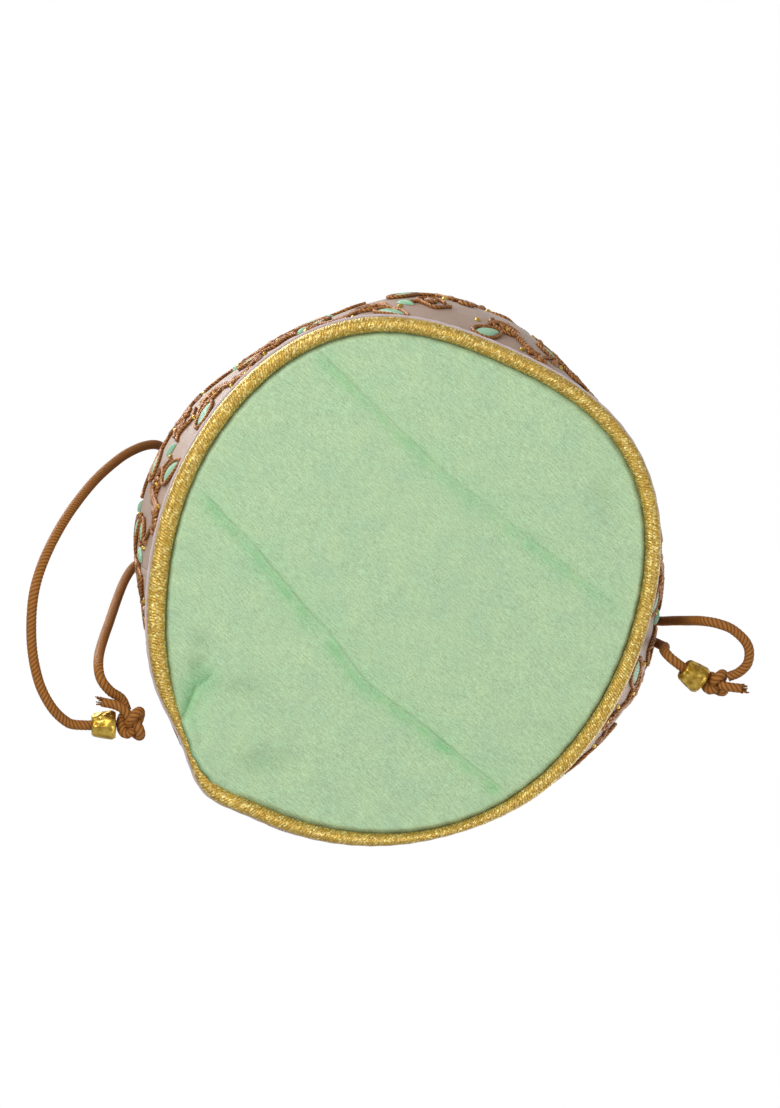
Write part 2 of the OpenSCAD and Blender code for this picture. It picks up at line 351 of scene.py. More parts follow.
def node_group(name, values, outputs):
    """An empty group fed by a Vector and by values; gives its tree and its sockets."""
    tree = bpy.data.node_groups.new(name, "ShaderNodeTree")
    add = tree.interface.new_socket
    add(name="Vector", in_out="INPUT", socket_type="NodeSocketVector")
    for key in values:
        add(name=key, in_out="INPUT", socket_type="NodeSocketFloat")
    for key in outputs:
        add(name=key, in_out="OUTPUT", socket_type="NodeSocketFloat")
    given, out = tree.nodes.new("NodeGroupInput"), tree.nodes.new("NodeGroupOutput")
    return tree, given.outputs, out.inputs


def split_xyz(tree, vector):
    return node(tree, "ShaderNodeSeparateXYZ", {"Vector": vector}).outputs


def woven_threads():
    """Plain weave with slubs. Vector is in millimetres; puts out a shade and a height."""
    inputs, outputs = ("Thread", "Slub Length", "Grid"), ("Shade", "Height")
    tree, given, out = node_group("woven_threads", inputs, outputs)
    split = split_xyz(tree, given["Vector"])
    pace = maths(tree, "DIVIDE", math.pi, given["Thread"])
    across = maths(tree, "SINE", maths(tree, "MULTIPLY", split["X"], pace))
    along = maths(tree, "SINE", maths(tree, "MULTIPLY", split["Y"], pace))
    crossing = maths(tree, "MULTIPLY", maths(tree, "MULTIPLY", across, along), given["Grid"])
    squash = node(tree, "ShaderNodeCombineXYZ", {
        "X": maths(tree, "DIVIDE", split["X"], given["Slub Length"]),
        "Y": maths(tree, "DIVIDE", split["Y"], given["Thread"]),
        "Z": split["Z"]})
    slub = node(tree, "ShaderNodeTexNoise",
                {"Vector": squash.outputs[0], "Scale": 0.8, "Detail": 3.0, "Roughness": 0.7})
    tree.links.new(maths(tree, "ADD", crossing, slub.outputs["Fac"]), out["Shade"])
    tree.links.new(maths(tree, "MULTIPLY_ADD", crossing, 4.0, slub.outputs["Fac"]), out["Height"])
    return tree


def glitter():
    """Short metal threads of random tone and height, some of them given a painted glint. Vector is
    in millimetres.
    """
    tree, given, out = node_group("glitter", ("Length", "Width"), ("Painted Glint", "Tone", "Height"))
    split = split_xyz(tree, given["Vector"])
    cell = node(tree, "ShaderNodeCombineXYZ", {
        "X": maths(tree, "DIVIDE", split["X"], given["Width"]),
        "Y": maths(tree, "DIVIDE", split["Y"], given["Length"]),
        "Z": 0.0})
    cells = node(tree, "ShaderNodeTexVoronoi",
                 {"Vector": cell.outputs[0], "Scale": 1.0, "Randomness": 0.75})
    tone = node(tree, "ShaderNodeSeparateColor", {"Color": cells.outputs["Color"]})
    glint = maths(tree, "SMOOTH_MIN", 1.0, maths(tree, "POWER", tone.outputs["Red"], 5.0), 0.1)
    height = maths(tree, "SUBTRACT", tone.outputs["Green"], cells.outputs["Distance"])
    tree.links.new(glint, out["Painted Glint"])
    tree.links.new(tone.outputs["Blue"], out["Tone"])
    tree.links.new(height, out["Height"])
    return tree


def mottling():
    """Soft uneven patches, from 0 to 1. Vector and Size are in millimetres."""
    tree, given, out = node_group("mottling", ("Size",), ("Patch",))
    scaled = node(tree, "ShaderNodeVectorMath", {
        0: given["Vector"], "Scale": maths(tree, "DIVIDE", 1.0, given["Size"])},
        operation="SCALE")
    patch = node(tree, "ShaderNodeTexNoise",
                 {"Vector": scaled.outputs[0], "Scale": 1.0, "Detail": 3.0, "Roughness": 0.55})
    spread = node(tree, "ShaderNodeMapRange",
                  {"Value": patch.outputs["Fac"], "From Min": 0.33, "From Max": 0.67})
    tree.links.new(spread.outputs[0], out["Patch"])
    return tree


WOVEN, GLITTER, MOTTLING = woven_threads(), glitter(), mottling()


def blank(name, roughness=0.5, **constants):
    """A material and its tree and Principled shader; constants are set on the shader itself."""
    material = bpy.data.materials.new(name)
    material.use_nodes = True
    tree = material.node_tree
    shader = tree.nodes["Principled BSDF"]
    shader.inputs["Roughness"].default_value = roughness
    for key, value in constants.items():
        shader.inputs[key.replace("_", " ")].default_value = value
    return material, tree, shader


def place_in_mm(tree, source, turn=0.0):
    """Object coordinates in millimetres, or the piece's own UV map, which already is."""
    coords = node(tree, "ShaderNodeTexCoord")
    size = 1 / MM if source == "Object" else 1.0
    made = node(tree, "ShaderNodeMapping", {
        "Vector": coords.outputs[source], "Scale": (size, size, size),
        "Rotation": (0.0, 0.0, math.radians(turn))})
    return made.outputs[0]


def dress(tree, shader, base, height, depth):
    """Gives a finish its colour, and a relief of the given depth in millimetres."""
    bump = node(tree, "ShaderNodeBump", {
        "Height": height, "Strength": 1.0, "Distance": depth * MM})
    tree.links.new(base, shader.inputs["Base Color"])
    tree.links.new(bump.outputs[0], shader.inputs["Normal"])


# -------- finishes

MINT_LIGHT, MINT_GREY = colour(176, 201, 155), colour(158, 190, 154)
# Painted shade: a fold's band turns a purer green where the silk loses its sheen, and fold lines
# and hollows turn dark green
MINT_BAND_SHADE, MINT_SHADED = colour(136, 196, 136), colour(66, 116, 62)


def silk(name, source, light, grey, turn=0.0, folded=False, sheen=0.3):
    """Slubbed dupion: patchy sheen, and fine streaks along one thread.

    The attributes of a folded cloth hold painted shade: a band of deeper, purer green along a
    fold, where the silk loses its sheen, and darker shade where a fold keeps the light off it.
    """
    material, tree, shader = blank(name, 0.52, Sheen_Weight=sheen, Sheen_Roughness=0.4,
                                   Specular_IOR_Level=0.4)
    at = place_in_mm(tree, source, turn)
    patch = grouped(tree, MOTTLING, {"Vector": at, "Size": 7.0})["Patch"]
    weave = grouped(tree, WOVEN, {"Vector": at, "Thread": 0.3, "Slub Length": 1.7, "Grid": 0.0})
    grain = node(tree, "ShaderNodeTexNoise", {"Vector": at, "Scale": 3.2, "Detail": 1.0})
    tone = maths(tree, "MULTIPLY_ADD", grain.outputs["Fac"], 0.7, weave["Shade"])
    cloudy = maths(tree, "MULTIPLY_ADD", patch, 0.5, -0.4)
    tint = maths(tree, "MULTIPLY_ADD", weave["Shade"], 1.3, cloudy)
    base = blended(tree, tint, light, grey)
    fleck = node(tree, "ShaderNodeMapRange", {
        "Value": tone, "From Min": 0.55, "From Max": 1.15, "To Min": 0.66, "To Max": 1.25})
    if folded:
        # Painted shade: along a fold the green turns deeper and purer in streaks, and fold lines
        # and hollows turn darker
        fold_band_shade = node(tree, "ShaderNodeAttribute", attribute_name="fold_band_shade")
        streak = maths(tree, "MULTIPLY_ADD", weave["Shade"], 1.6, 0.1)
        streak = maths(tree, "MULTIPLY", fold_band_shade.outputs["Fac"], streak)
        base = blended(tree, streak, base, MINT_BAND_SHADE)
        shaded = node(tree, "ShaderNodeAttribute", attribute_name="shaded")
        base = blended(tree, shaded.outputs["Fac"], base, MINT_SHADED)
    toned = node(tree, "ShaderNodeVectorMath", {0: base, "Scale": fleck.outputs[0]},
                 operation="SCALE")
    dress(tree, shader, toned.outputs[0], tone, 0.06)
    return material


def metal_cloth(name, dark, body, glint_colour, length=0.55, width=0.34):
    """Cloth of metal threads in slanting ribs: body colour, dark gaps, and painted glints on
    single threads.
    """
    material, tree, shader = blank(name, 0.4, Metallic=0.5, Specular_IOR_Level=0.6)
    at = place_in_mm(tree, "UV", 24.0)
    sparks = grouped(tree, GLITTER, {"Vector": at, "Length": length, "Width": width})
    split = split_xyz(tree, at)
    across = maths(tree, "MULTIPLY", split["X"], math.pi / (2 * width))
    rib = maths(tree, "ABSOLUTE", maths(tree, "SINE", across))
    patch = grouped(tree, MOTTLING, {"Vector": at, "Size": 5.0})["Patch"]
    tone = maths(tree, "MULTIPLY", patch, 0.2)
    tone = maths(tree, "MULTIPLY_ADD", sparks["Tone"], 0.45, tone)
    tone = maths(tree, "MULTIPLY_ADD", rib, 0.35, tone)
    base = blended(tree, tone, dark, body)
    # Painted glints: single threads turned to a pale gold, whatever the light
    base = blended(tree, sparks["Painted Glint"], base, glint_colour)
    dress(tree, shader, base, maths(tree, "MULTIPLY_ADD", rib, 0.6, sparks["Height"]), 0.12)
    return material


def spun_cord(name, dark, light, plies, pitch, roughness=0.5, metallic=0.0):
    """Fine fibres that follow the twist of a cord, with painted shade in the grooves between
    plies.
    """
    material, tree, shader = blank(name, roughness, Metallic=metallic, Specular_IOR_Level=0.15)
    at = place_in_mm(tree, "UV")
    split = split_xyz(tree, at)
    turn = maths(tree, "DIVIDE", split["Y"], TAU * CORD_R)
    lay = maths(tree, "SUBTRACT", turn, maths(tree, "DIVIDE", split["X"], pitch))
    lobe = maths(tree, "COSINE", maths(tree, "MULTIPLY", lay, math.pi * plies))
    lobe = maths(tree, "ABSOLUTE", lobe)
    fibres = node(tree, "ShaderNodeCombineXYZ", {
        "X": maths(tree, "MULTIPLY", split["X"], 0.5),
        "Y": maths(tree, "MULTIPLY", lay, 60.0), "Z": 0.0})
    grain = node(tree, "ShaderNodeTexNoise",
                 {"Vector": fibres.outputs[0], "Scale": 1.0, "Detail": 2.0})
    tone = maths(tree, "MULTIPLY_ADD", grain.outputs["Fac"], 1.2, 0.2)
    tone = maths(tree, "MULTIPLY", lobe, tone)
    # Painted shade: the grooves between plies turn dark; the noise along the fibres is their own
    # tone
    dress(tree, shader, blended(tree, tone, dark, light), tone, 0.12)
    return material


def polished_brass():
    """Cast beads with a slightly hammered skin, and worn patches of darker, rougher brass."""
    material, tree, shader = blank("bead_brass", 0.3, Metallic=1.0)
    at = place_in_mm(tree, "Object")
    dents = node(tree, "ShaderNodeTexVoronoi", {"Vector": at, "Scale": 0.8}, feature="SMOOTH_F1")
    wear = grouped(tree, MOTTLING, {"Vector": at, "Size": 1.6})["Patch"]
    shine = node(tree, "ShaderNodeMapRange", {"Value": wear, "To Min": 0.42, "To Max": 0.2})
    tree.links.new(shine.outputs[0], shader.inputs["Roughness"])
    base = blended(tree, wear, colour(150, 112, 30), colour(236, 200, 96))
    dress(tree, shader, base, dents.outputs["Distance"], 0.25)
    return material


def plain_cloth(name, tint, shadow, thread=0.5, source="Object"):
    """Plain woven lining, canvas or braid ground."""
    material, tree, shader = blank(name, 0.75, Sheen_Weight=0.15)
    at = place_in_mm(tree, source)
    weave = grouped(tree, WOVEN, {"Vector": at, "Thread": thread, "Slub Length": 1.2, "Grid": 0.2})
    dress(tree, shader, blended(tree, weave["Shade"], shadow, tint), weave["Height"], 0.05)
    return material


BASE_SILK = silk("base_silk", "Object", MINT_LIGHT, MINT_GREY, turn=-42, folded=True)
TOP_SILK = silk("top_silk", "UV", MINT_LIGHT, MINT_GREY)
SIDE_SILK = silk("side_silk", "UV", colour(170, 140, 116), colour(150, 122, 106), sheen=0.15)
GOLD_CLOTH = metal_cloth(
    "gold_cloth", colour(134, 96, 26), colour(222, 182, 72), colour(255, 240, 160))
GOLD_BRAID = metal_cloth(
    "gold_braid", colour(120, 84, 24), colour(206, 164, 66), colour(255, 236, 160), 0.5, 0.5)
SATIN = plain_cloth("edge_satin", colour(222, 208, 210), colour(186, 168, 170), 0.3, "UV")
LINING = plain_cloth("lining_cloth", colour(176, 206, 168), colour(142, 178, 138))
CANVAS = plain_cloth("base_canvas_cloth", colour(222, 212, 190), colour(190, 178, 152), 0.8)
COTTON = plain_cloth("core_cotton", colour(236, 230, 214), colour(208, 200, 180), 0.8)
CORD_PLIES, CORD_PITCH = 4, 4.2
CORD = spun_cord(
    "drawstring", colour(96, 54, 20), colour(178, 118, 54), CORD_PLIES, CORD_PITCH, 0.55)
ZARI_PLIES, ZARI_PITCH = 2, 2.2
ZARI = spun_cord(
    "zari", colour(84, 42, 20), colour(206, 142, 78), ZARI_PLIES, ZARI_PITCH, 0.4, 0.5)
BRASS = polished_brass()


# -------- outlines of the sack

# The sewn edge of the base cloth is no true circle: the full sack is pressed out of round
EDGE_WAVES = ((1, 2.1, 127), (2, 2.4, -123), (3, 1.4, -5), (4, 1.1, -109), (5, 0.4, -107),
              (6, 0.3, 132))
WALL_WAVES = ((1, 1.9, 47), (2, 0.6, -134), (3, 1.5, 57), (4, 2.2, 83), (5, 0.4, -50))
EDGE_R = BASE_R - 3.2
PIPING_W = 3.8
# Degrees at which the edge has a corner, the cloth hangs over the piping, and the piping is thin
CORNER_AT, LOOSE_AT, PINCH_AT = 133, 141, 146


def edge_r(angle):
    """Radius at which the base cloth meets the piping."""
    return EDGE_R + waves(angle, EDGE_WAVES) + 2.3 * bump_at(angle, CORNER_AT, 7)


def piping_w(angle):
    """Width of the piping, squeezed thin next to the corner and where the sack leans on it."""
    squeeze = 0.4 * bump_at(angle, PINCH_AT, 9) + 0.33 * bump_at(angle, 77, 17)
    swell = 0.2 * bump_at(angle, 178, 30) - 0.1 * bump_at(angle, 98, 18)
    return PIPING_W * (1 - squeeze + swell)


def piping_centre_r(angle):
    return edge_r(angle) + piping_w(angle) / 2


def wall_point(angle, t, out=0.0):
    """Point on the side wall at height share t, moved outwards by out."""
    foot = piping_centre_r(angle) + piping_w(angle) / 2 - 1.0
    top = SEAM_R - 0.6 + 0.8 * math.cos(17 * angle) * smooth(0.6, 1.0, t)
    waist = WALL_R - 1.4 + waves(angle, WALL_WAVES) - 2.2 * bump_at(angle, 14, 14)
    bulge = waist - (foot + top) / 2
    folds = 0.9 * rough(math.cos(angle) * 4, math.sin(angle) * 4, t * 1.5, 1.0)
    r = mix(foot, top, t) + (bulge + folds) * math.sin(math.pi * t)
    return polar(r + out, angle, mix(WALL_Z0, WALL_Z1, t))


PLEATS = 30


def pleat(angle):
    """Uneven pleats round the neck, from -1 to 1."""
    drift = 0.5 * math.sin(3 * angle + 0.7) + 0.35 * math.sin(7 * angle)
    return math.sin(PLEATS * angle + 3 * drift) * (0.75 + 0.25 * math.sin(5 * angle))


def shoulder_point(angle, t, out=0.0):
    """Point on the gathered shoulder: a quarter of an ellipse, pleated towards the neck."""
    a = math.pi / 2 * t
    r = NECK_R - 1.0 + (SEAM_R - NECK_R + 0.4) * math.cos(a)
    z = WALL_Z1 + (NECK_Z - WALL_Z1 - 1.0) * math.sin(a)
    out += pleat(angle) * 1.6 * smooth(0.05, 0.9, t)
    return polar(r + out * math.cos(a), angle, z + out * math.sin(a))


# -------- base

# Pressed folds that run across the base cloth, and the crumple at its edge
LONG_FOLD = ((-52, -23.5), (-36.4, -7), (-18.4, 14.3), (-9.4, 25.8), (7.3, 38.6), (27, 54.6))
FAR_FOLD = ((-24, -58), (-2, -37), (10, -26), (28, -12), (47, 2), (55, 9))
CRUMPLE = ((-45.5, 21.4), (-49, 24.5), (-52, 26.5), (-53.9, 31), (-55.6, 35))
# Soft hollows: place, size along X and Y, depth, and how much painted shade darkens them
HOLLOWS = ((-40.5, 27, 6, 3, 0.35, 0.16), (-35, 45, 7, 3.5, 0.35, 0.2), (-51, 16, 3, 3, 0.4, 0.16),
           (49, -21, 3, 7, 0.3, 0.12), (-52, 22, 2.5, 4, 0.6, 0.3), (42, 40, 9, 6, 0.2, 0.06))
FOLD_TURN = math.radians(45)
FOLD_DEPTHS = (1.0, 0.67)
BASE_DROP = 0.95
BASE_CLOTH_T = 0.4
EDGE_PUCKERS = 64
STEPS_ACROSS, STEPS_ALONG = 300, 150
# Lowest and highest that the cloth may lie inside its edge, which the piping covers
CLOTH_LOW, CLOTH_HIGH = 0.08, 2.4


def off_line(x, y, line):
    """Signed distance to a line of points, and the share of its length nearest to (x, y)."""
    best, share, walked = 1e9, 0.0, 0.0
    total = sum(math.dist(a, b) for a, b in zip(line, line[1:]))
    for a, b in zip(line, line[1:]):
        ax, ay, dx, dy = x - a[0], y - a[1], b[0] - a[0], b[1] - a[1]
        length = math.hypot(dx, dy)
        t = min(1.0, max(0.0, (ax * dx + ay * dy) / length ** 2))
        gap = math.hypot(ax - dx * t, ay - dy * t)
        if gap < abs(best):
            best = math.copysign(gap, dx * ay - dy * ax)
            share = (walked + length * t) / total
        walked += length
    return best, share


def folded(x, y):
    """How far folds lift the cloth towards the ground, and the painted shade they give it: a band
    of purer green, and darker shade.
    """
    lift = fold_band_shade = shaded = 0.0
    for line, depth in zip((LONG_FOLD, FAR_FOLD), FOLD_DEPTHS):
        gap, share = off_line(x + 0.5 * rough(x, y, 5, 9), y, line)
        ends = smooth(0.0, 0.06, share) * smooth(0.0, 0.06, 1 - share)
        fade = ends * (0.75 + 0.5 * rough(x, y, 2, 11)) * depth
        side = smooth(-0.3, 0.6, gap)
        lift += 0.3 * fade * math.exp(-abs(gap) / 1.4) * (0.5 + side)
        lift -= 0.25 * fade * math.exp(-((gap + 1.2) / 1.2) ** 2)
        band = side * math.exp(-max(0.0, gap - 1.8) / 1.4) * (0.75 + 0.7 * rough(x, y, 12, 4))
        # Painted shade: a streaky band of purer green on one side of the fold, and darker shade
        # along its line
        fold_band_shade = max(fold_band_shade, fade * band, 0.3 * fade * math.exp(-abs(gap) / 3.5))
        shaded = max(shaded, 0.42 * fade * math.exp(-(gap / 0.3) ** 2), 0.16 * fade * band)
    gap, share = off_line(x, y, CRUMPLE)
    fade = smooth(0.0, 0.35, share)
    hollow = smooth(-0.2, 0.5, gap) * math.exp(-max(0.0, gap) / 2.4)
    lift += fade * (0.5 * math.exp(-((gap + 0.9) / 1.3) ** 2) - 0.9 * hollow)
    # Painted shade along the crumple and in the hollow beside it
    fold_band_shade = max(fold_band_shade, 0.8 * fade * math.exp(-abs(gap) / 2.5))
    shaded = max(shaded, fade * (0.45 * math.exp(-(gap / 0.5) ** 2) + 0.5 * hollow))
    for hx, hy, wide, tall, depth, dark in HOLLOWS:
        bell = math.exp(-((x - hx) / wide) ** 2 - ((y - hy) / tall) ** 2)
        lift -= depth * bell
        shaded = max(shaded, dark * bell)
    return lift, fold_band_shade, shaded


def disc_point(u, v, radius, turn=0.0):
    """Maps the unit square onto a disc; gives the point, its angle and share of the radius."""
    x, y = 2 * u - 1, 2 * v - 1
    px, py = x * math.sqrt(1 - y * y / 2), y * math.sqrt(1 - x * x / 2)
    share, angle = math.hypot(px, py), math.atan2(py, px) + turn
    r = share * radius(angle)
    return r * math.cos(angle), r * math.sin(angle), angle, share


def closer_at(places, steps):
    """Shares from 0 to 1, closer together round the given places."""
    weights = [1 / (1 + sum(2.2 * math.exp(-((i / steps - p) / 0.06) ** 2) for p in places))
               for i in range(steps)]
    total, walked, shares = sum(weights), 0.0, [0.0]
    for weight in weights:
        walked += weight
        shares.append(walked / total)
    return shares


def loose_at(angle):
    """How far the base cloth hangs over the piping, next to the corner."""
    return bump_at(angle, LOOSE_AT, 11)


def cloth_edge(angle):
    frayed = 1 + 0.5 * math.sin(angle * 34) + 0.2 * math.sin(angle * 90)
    return edge_r(angle) + 0.5 + 0.7 * loose_at(angle) * frayed


def make_base():
    marks = []
    across = closer_at((0.33, 0.7), STEPS_ACROSS)

    def place(u, v):
        u = across[round(u * STEPS_ACROSS)]
        x, y, angle, share = disc_point(v, u, cloth_edge, FOLD_TURN)
        lift, fold_band_shade, shaded = folded(x, y)
        ripple = 0.2 * rough(x, y, 0, 18) + 0.08 * rough(x, y, 9, 6)
        pucker = 0.16 * math.sin(EDGE_PUCKERS * angle) * smooth(0.9, 0.99, share)
        inside = 1 - smooth(0.95, 1.0, share)
        z = BASE_DROP - (lift + ripple) * inside + 0.3 * share ** 2 + pucker
        z += (1.7 * smooth(0.97, 1.0, share) + 0.3) * (1 - bump_at(angle, LOOSE_AT, 12))
        loose = loose_at(angle)
        shaded = max(shaded, (0.45 + 0.4 * loose) * smooth(0.985, 1.0, share))
        z = mix(z, 0.3, smooth(0.5, 0.9, loose) * smooth(0.94, 0.98, share))
        marks.append((fold_band_shade * inside, shaded))
        z = max(z, CLOTH_LOW)
        return Vector((x, y, min(z, CLOTH_HIGH) if share < 0.96 else z))

    bm = bmesh.new()
    layers = [bm.verts.layers.float.new(name) for name in ("fold_band_shade", "shaded")]
    made = add_patch(bm, STEPS_ACROSS, STEPS_ALONG, (1, 1), place)
    for v, values in zip(made, marks):
        for layer, value in zip(layers, values):
            v[layer] = value
    cloth = piece("base_cloth", bm, BASE_SILK, "base_panel",
                  thick=BASE_CLOTH_T, offset=1.0)


def make_disc(name, cad_node, material, inset, bottom, thickness):
    """A flat ply inside the base, cut to the outline of the base cloth."""
    def place(u, v):
        x, y, _, _ = disc_point(v, u, lambda a: edge_r(a) - inset)
        return Vector((x, y, bottom + 0.05 * rough(x, y, 3, 12)))

    bm = bmesh.new()
    add_patch(bm, 48, 48, (1, 1), place)
    piece(name, bm, material, cad_node, thick=thickness, offset=1.0)


def make_piping():
    def place(u, v):
        angle, turn = around(u), TAU * v
        half = piping_w(angle) / 2
        lump = 1 + 0.05 * rough(60 * math.cos(angle), 60 * math.sin(angle), 0, 7)
        rib = 0.04 * math.sin(angle * 300 + 3 * turn)
        pinch = 0.5 * bump_at(angle, LOOSE_AT, 14)
        r = piping_centre_r(angle) + (half * lump + rib) * math.cos(turn)
        z = PIPING_H / 2 + pinch + ((PIPING_H / 2 - pinch) * lump + rib) * math.sin(turn)
        return polar(r, angle, max(z, 0.02))

    closed_round("piping_roll", 900, 24, (TAU * BASE_R, TAU * PIPING_W / 2), place,
                 GOLD_CLOTH, "base_piping")
    core = ring_of(240, lambda a: polar(piping_centre_r(a), a, PIPING_H / 2))
    tube_round("piping_cotton", core, rope_radius(0.85, 3, 6.0), 10,
               COTTON, "piping_core")
    lip = ring_of(360, lambda a: polar(piping_centre_r(a) + piping_w(a) / 2 + 0.12, a,
                                       PIPING_H + 0.1))
    tube_round("satin_lip", lip, lambda s, turn: 0.45 + 0.06 * math.sin(s * 1.3), 10,
               SATIN, "satin_edge")


make_base()
make_disc("canvas_ply", "base_canvas", CANVAS, inset=1.0, bottom=3.1, thickness=0.6)
make_disc("lining_disc", "base_lining", LINING, inset=1.2, bottom=4.2, thickness=0.4)
make_piping()


# -------- side wall

SEAM_HALF = math.radians(0.9)
SEAM_W, SEAM_T = 3.0, 0.4


def make_wall():
    height = WALL_Z1 - WALL_Z0
    for name, cad_node, start in (("front_silk", "front_panel", math.pi),
                                  ("back_silk", "back_panel", 0.0)):
        bm = bmesh.new()
        half_turn = math.pi - 2 * SEAM_HALF
        add_patch(bm, 260, 60, (math.pi * WALL_R, height),
                  lambda u, v: wall_point(start + SEAM_HALF + u * half_turn, v))
        cloth = piece(name, bm, SIDE_SILK, cad_node, thick=CLOTH_T)
    for name, cad_node, seam_at in (("left_seam", "left_side_seam", math.pi),
                                    ("right_seam", "right_side_seam", 0.0)):
        bm = bmesh.new()
        add_patch(bm, 6, 80, (SEAM_W, height),
                  lambda u, v: wall_point(seam_at + (u - 0.5) * 2.4 * SEAM_HALF, v,
                                          0.12 - 0.15 * math.cos(TAU * u)))
        piece(name, bm, SIDE_SILK, cad_node, thick=SEAM_T)
    lining = closed_round("side_lining", 200, 30, (TAU * WALL_R, height),
                          lambda u, v: wall_point(around(u), v, -LINING_GAP),
                          LINING, "wall_lining", LINING_T)


make_wall()


# -------- embroidery

def on_wall(angle, z, out):
    return wall_point(angle, (z - WALL_Z0) / (WALL_Z1 - WALL_Z0), out)


def stitched(points, at_angle, at_z, out, tilt=0.0, flip=1):
    """Puts a flat drawing, in millimetres, on the wall round a point."""
    c, s = math.cos(tilt), math.sin(tilt)
    made = []
    for x, y in points:
        x *= flip
        x, y = x * c - y * s, x * s + y * c
        made.append(on_wall(at_angle + x / WALL_R, at_z + y, out))
    return made


def spiral(radius, turns, start, steps=26):
    """A curl that winds inwards."""
    made = []
    for i in range(steps + 1):
        r, turn = radius * (1 - 0.75 * i / steps), start + TAU * turns * i / steps
        made.append((r * math.cos(turn), r * math.sin(turn)))
    return made


def almond(length, width, steps=20):
    """Outline of a leaf along x."""
    return [(length / 2 * math.cos(TAU * i / steps),
             width / 2 * math.sin(TAU * i / steps) * (1 - 0.35 * math.cos(TAU * i / steps)))
            for i in range(steps + 1)]


VINE_R = 0.52
MOTIFS = 11
# Height of each row of motifs, and how far it is shifted, as a share of a motif
ROWS = ((19, 0.0), (43, 0.5), (68, 0.1))
# Turn, rise, lean, length and width of the outlined leaves of a motif, and what the outline takes
LEAVES = ((-0.13, -5.5, 0.9, 11.5, 5.6, 1.1), (0.14, 7.0, -0.7, 8.6, 4.4, 1.0))
# Turn, rise and size of the flowers of a motif, and turn and rise of its sequins
FLOWERS = ((0.0, 2.0, 4.6), (0.045, -2.5, 3.8), (-0.05, 7.5, 3.2), (0.1, -5.0, 3.0),
           (0.17, 0.5, 2.8))
SEQUINS = ((-0.05, 4.0), (0.09, -8.0), (0.2, 2.5), (0.02, -6.0), (-0.17, 2.0))
SEQUIN_D = 1.6


def floss(name, light, thread_gap_shade):
    """Satin stitch: fine glossy threads side by side across the leaf, with painted shade between
    the threads.
    """
    material, tree, shader = blank(name, 0.34, Sheen_Weight=0.3, Sheen_Roughness=0.3)
    at = place_in_mm(tree, "UV")
    split = split_xyz(tree, at)
    thread = maths(tree, "SINE", maths(tree, "MULTIPLY", split["X"], 9.0))
    thread = maths(tree, "ABSOLUTE", thread)
    # Painted shade between the threads of the stitch
    dress(tree, shader, blended(tree, thread, thread_gap_shade, light), thread, 0.12)
    return material


def make_embroidery():
    random.seed(7)
    mint_floss = floss("mint_floss", colour(160, 212, 172), colour(104, 164, 122))
    copper_floss = floss("copper_floss", colour(176, 116, 60), colour(104, 60, 24))
    vines, leaves, flowers, sequins = (bmesh.new() for _ in range(4))
    twisted = rope_radius(VINE_R, ZARI_PLIES, ZARI_PITCH, 0.22)

    def vine(points, angle, z, tilt, flip, out=0.45):
        path = even_path(stitched(points, angle, z, out, tilt, flip), 0.55)
        add_tube(vines, path, twisted, 8)

    def pad(bm, length, width, angle, z, tilt, flip, high):
        """An almond of satin stitch, padded in its middle."""
        def place(u, v):
            x, y = 2 * u - 1, 2 * v - 1
            w = width / 2 * math.sqrt(max(0.0, 1 - x * x)) * (1 - 0.35 * x)
            crown = math.sqrt(max(0.0, 1 - y * y)) * math.sin(math.pi * u) ** 0.5
            spot = [(x * length / 2, y * w)]
            return stitched(spot, angle, z, 0.1 + high * crown, tilt, flip)[0]

        made = add_patch(bm, 14, 8, (length, width), place)
        bmesh.ops.remove_doubles(bm, verts=made, dist=WELD)

    for row, (z, shift) in enumerate(ROWS):
        for k in range(MOTIFS):
            flip = 1 if (k + row) % 2 else -1
            angle = TAU * (k + shift) / MOTIFS + random.uniform(-0.05, 0.05)
            z0 = z + random.uniform(-1.5, 1.5)
            tilt = random.uniform(-0.3, 0.3)
            stem = [(22 * t - 11, 7.5 * math.sin(TAU * t) - 4 + 8 * t)
                    for t in (i / 20 for i in range(21))]
            vine(stem, angle, z0, tilt, flip)
            vine([(x * 0.96, y + 1.5) for x, y in stem[2:17]], angle, z0, tilt, flip)
            vine(spiral(5.2, 1.3, 2.4), angle - 0.05 * flip, z0 + 4, tilt, flip)
            vine(spiral(3.4, 1.1, 0.4), angle + 0.09 * flip, z0 - 8, tilt, -flip)
            for da, dz, lean, long, wide, rim in LEAVES:
                at, up, lean = angle + da * flip, z0 + dz, lean * flip
                vine(almond(long, wide), at, up, lean, 1, 0.5)
                pad(leaves, long - rim, wide - rim, at, up, lean, 1, 0.9)
            between = angle + math.pi / MOTIFS
            vine(spiral(4.2, 1.3, 1.0 + flip), between, z0 + 10, tilt, -flip)
            twig = [(i - 5, 2.2 * math.sin(0.7 * i) - 5) for i in range(12)]
            vine(twig, between, z0 + 10, tilt, -flip)
            pad(leaves, 5.6, 2.6, between + 0.09 * flip, z0 + 6, 0.8 * flip, 1, 0.9)
            pad(flowers, 3.2, 2.6, between, z0 + 10, tilt, flip, 1.0)
            for da, dz, size in FLOWERS:
                pad(flowers, size, size * 0.7, angle + da * flip, z0 + dz, tilt + dz, flip, 1.0)
            for da, dz in SEQUINS:
                pad(sequins, SEQUIN_D, SEQUIN_D, angle + da * flip, z0 + dz, 0.0, 1, 0.7)
    piece("couched_vines", vines, ZARI, "zari_vines")
    piece("stitched_leaves", leaves, mint_floss, "leaf_patches")
    piece("stitched_flowers", flowers, copper_floss)
    piece("gold_sequins", sequins, BRASS, "sequins")


make_embroidery()


# -------- gathered mouth

CASING_Z0, CASING_Z1 = CASING_LOW.z, CASING_HIGH.z
HOLE_R = 8.0
FRILLS = 9
BRAID_W = 4.4
NECK_STEPS = 480
# Where the two rows of stitching go round the casing, as shares of its outline
THREAD_ROWS = (0.07, 0.38)


